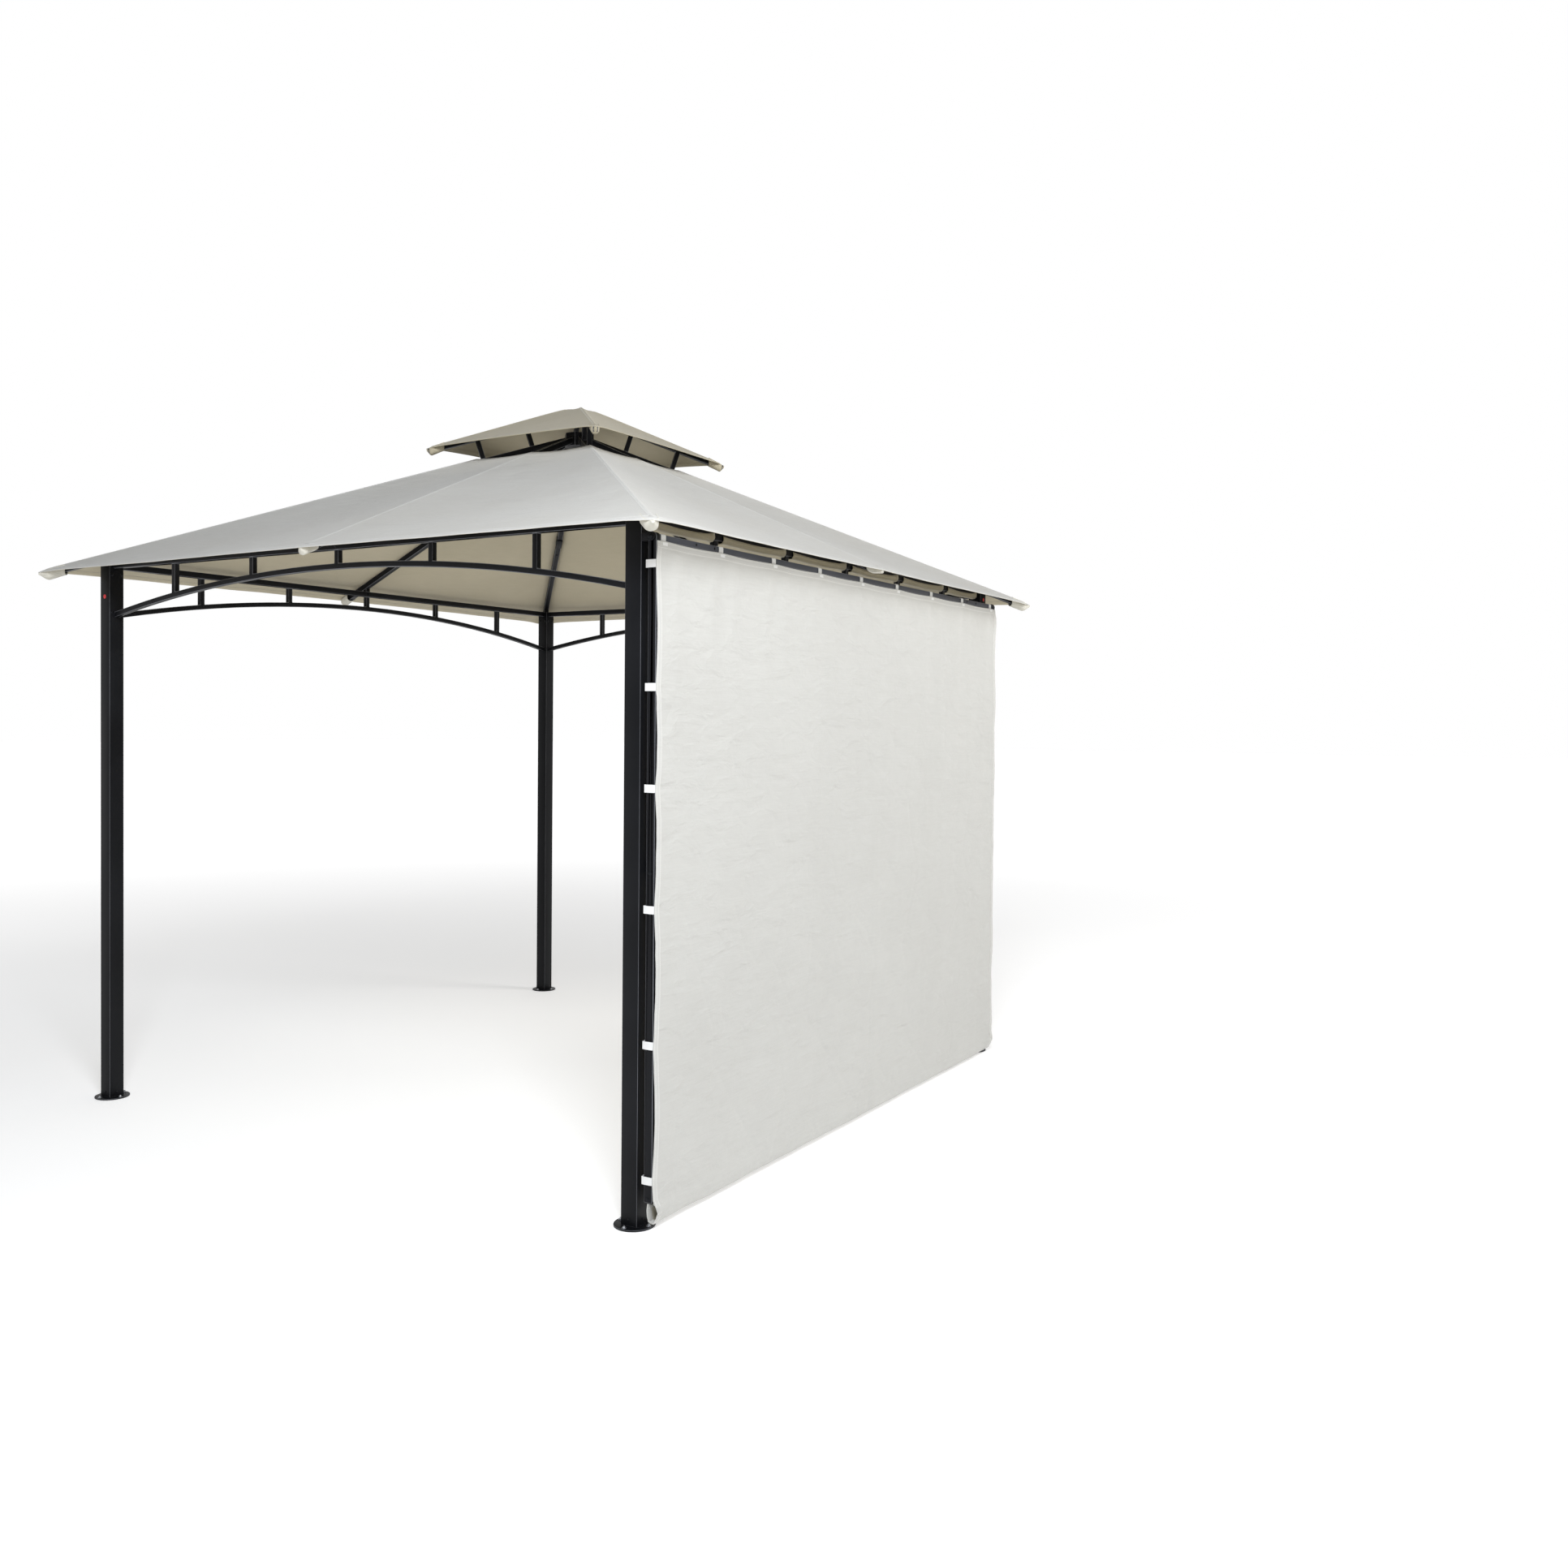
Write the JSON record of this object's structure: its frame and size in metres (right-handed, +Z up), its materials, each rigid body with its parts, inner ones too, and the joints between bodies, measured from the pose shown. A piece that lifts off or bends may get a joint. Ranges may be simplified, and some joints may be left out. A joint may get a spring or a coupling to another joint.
{
  "type": "garden gazebo with a hinged awning side",
  "caption": "Square steel garden pergola with arched beams, a two-tier cloth roof, and one hinged cloth side panel that swings up as an awning on telescopic struts.",
  "frame": {"origin": "on the ground at the centre of the four posts", "axes": "+Z up, +X towards the side with the hinged awning panel, +Y towards the rear"},
  "size_m": [3, 3, 2.8986],
  "materials": {
    "steel": "satin powder coat",
    "roof_cloth": "woven polyester",
    "panel_cloth": "woven polyester"
  },
  "bodies": {
    "frame": {"post_front_left": "steel", "post_front_right": "steel", "post_rear_right": "steel", "post_rear_left": "steel", "plate_front_left": "steel", "plate_front_right": "steel", "plate_rear_right": "steel", "plate_rear_left": "steel", "beam_front": "steel", "beam_right": "steel", "beam_rear": "steel", "beam_left": "steel", "hip_front_left": "steel", "hip_front_right": "steel", "hip_rear_right": "steel", "hip_rear_left": "steel", "rafter_front": "steel", "rafter_right": "steel", "rafter_rear": "steel", "rafter_left": "steel", "crown_hub": "steel", "top_hip_front_left": "steel", "top_hip_front_right": "steel", "top_hip_rear_right": "steel", "top_hip_rear_left": "steel", "top_hub": "steel", "lower_canopy": "roof_cloth", "upper_canopy": "roof_cloth", "hinge_front": "steel", "hinge_rear": "steel", "strut_pivot_front": "steel", "strut_pivot_rear": "steel"},
    "awning": {"awning_arm_front": "steel", "awning_arm_rear": "steel", "awning_rail": "steel", "awning_mid_bar": "steel", "awning_end_bar": "steel", "awning_cloth": "panel_cloth", "awning_lug_front": "steel", "awning_lug_rear": "steel"},
    "strut_tube_front": {"strut_tube_front": "steel"},
    "strut_tube_rear": {"strut_tube_rear": "steel"},
    "strut_rod_front": {"strut_rod_front": "steel"},
    "strut_rod_rear": {"strut_rod_rear": "steel"}
  },
  "joints": [
    {"name": "awning_hinge", "type": "hinge", "parent": "frame", "child": "awning", "pos_m": [1.385, 0, 2.092], "axis": [0, -1, 0], "range_deg": [0, 90]},
    {"name": "strut_swing_front", "type": "hinge", "parent": "frame", "child": "strut_tube_front", "pos_m": [1.343, -1.262, 1.775], "axis": [0, -1, 0], "range_deg": [0, 105.3]},
    {"name": "strut_slide_front", "type": "slide", "parent": "strut_tube_front", "child": "strut_rod_front", "axis": [0, 0, -1], "range_m": [0, 0.3975]},
    {"name": "strut_swing_rear", "type": "hinge", "parent": "frame", "child": "strut_tube_rear", "pos_m": [1.343, 1.262, 1.775], "axis": [0, -1, 0], "range_deg": [0, 105.3]},
    {"name": "strut_slide_rear", "type": "slide", "parent": "strut_tube_rear", "child": "strut_rod_rear", "axis": [0, 0, -1], "range_m": [0, 0.3975]}
  ],
  "couplings": [
    {"joint": "strut_swing_front", "follows": "awning_hinge", "ratio": 1.1678},
    {"joint": "strut_slide_front", "follows": "awning_hinge", "m_per_rad": 0.25175},
    {"joint": "strut_swing_rear", "follows": "awning_hinge", "ratio": 1.1678},
    {"joint": "strut_slide_rear", "follows": "awning_hinge", "m_per_rad": 0.25175}
  ]
}
